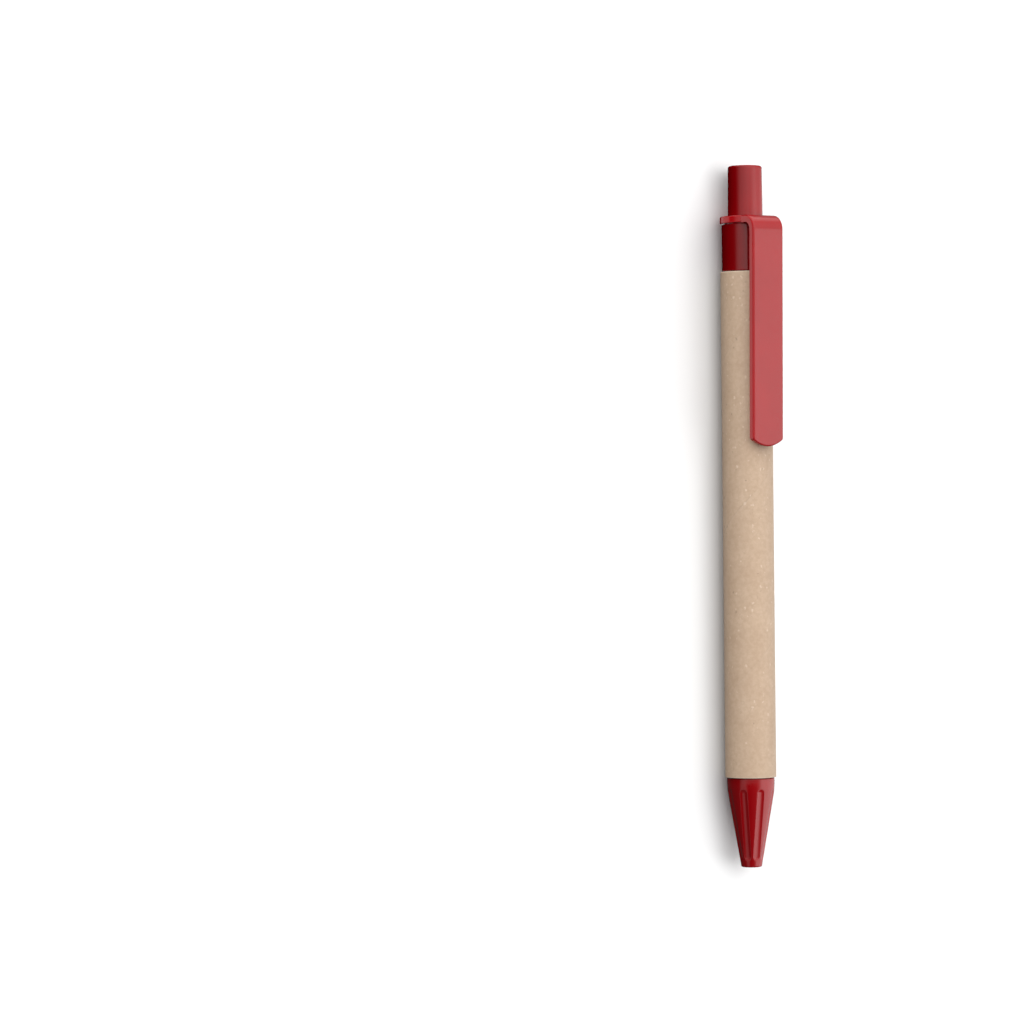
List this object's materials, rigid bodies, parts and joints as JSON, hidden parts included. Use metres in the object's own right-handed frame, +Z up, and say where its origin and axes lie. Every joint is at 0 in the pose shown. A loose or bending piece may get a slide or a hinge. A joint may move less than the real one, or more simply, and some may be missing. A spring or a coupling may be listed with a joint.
{
  "type": "retractable ballpoint pen",
  "caption": "Slim push-button ballpoint pen with a kraft-paper barrel, a fluted plastic nose cone, a plastic pocket clip and a refill that clicks in and out.",
  "frame": {"origin": "middle of the pen's length and width, on the surface that the barrel lies on", "axes": "+X from the button towards the nose along the pen, +Z up towards the clip, +Y to the left of a person looking along +X"},
  "size_m": [0.1398, 0.0102, 0.0132],
  "materials": {
    "kraft_paper": "uncoated brown kraft paper",
    "red_plastic": "glossy moulded red plastic",
    "white_plastic": "satin natural acetal",
    "black_plastic": "satin black acetal",
    "spring_steel": "bright drawn wire",
    "tube_plastic": "milky clear plastic tube",
    "point_metal": "turned nickel-plated brass",
    "ball_carbide": "polished carbide",
    "ink_paste": "thick blue ink",
    "follower_grease": "clear yellowish grease"
  },
  "bodies": {
    "barrel": {"paper_barrel": "kraft_paper", "nose_cone": "red_plastic", "rear_fitting": "red_plastic", "clip_collar": "red_plastic", "return_spring": "spring_steel"},
    "clip": {"clip_blade": "red_plastic"},
    "button": {"push_button": "red_plastic", "cam_plunger": "white_plastic"},
    "rotor": {"cam_rotor": "black_plastic"},
    "refill": {"refill_tube": "tube_plastic", "refill_tip": "point_metal", "ink_column": "ink_paste", "grease_follower": "follower_grease"},
    "ball": {"writing_ball": "ball_carbide"}
  },
  "joints": [
    {"name": "button_press", "type": "slide", "parent": "barrel", "child": "button", "axis": [1, 0, 0], "range_m": [0, 0.006], "stiffness_N_per_m": 250, "springref_m": -0.004},
    {"name": "rotor_slide", "type": "slide", "parent": "barrel", "child": "rotor", "axis": [1, 0, 0], "range_m": [0, 0.006]},
    {"name": "refill_slide", "type": "slide", "parent": "barrel", "child": "refill", "axis": [1, 0, 0], "range_m": [0, 0.006], "deforming": ["return_spring"]},
    {"name": "clip_flex", "type": "hinge", "parent": "barrel", "child": "clip", "pos_m": [-0.05895, 0, 0.01045], "axis": [0, -1, 0], "range_deg": [0, 4], "stiffness_Nm_per_rad": 2},
    {"name": "ball_roll", "type": "hinge", "parent": "refill", "child": "ball", "pos_m": [0.06785, 0, 0.00508], "axis": [0, 1, 0], "continuous": true}
  ],
  "couplings": [
    {"joint": "rotor_slide", "follows": "button_press", "ratio": 1},
    {"joint": "refill_slide", "follows": "button_press", "ratio": 1}
  ]
}
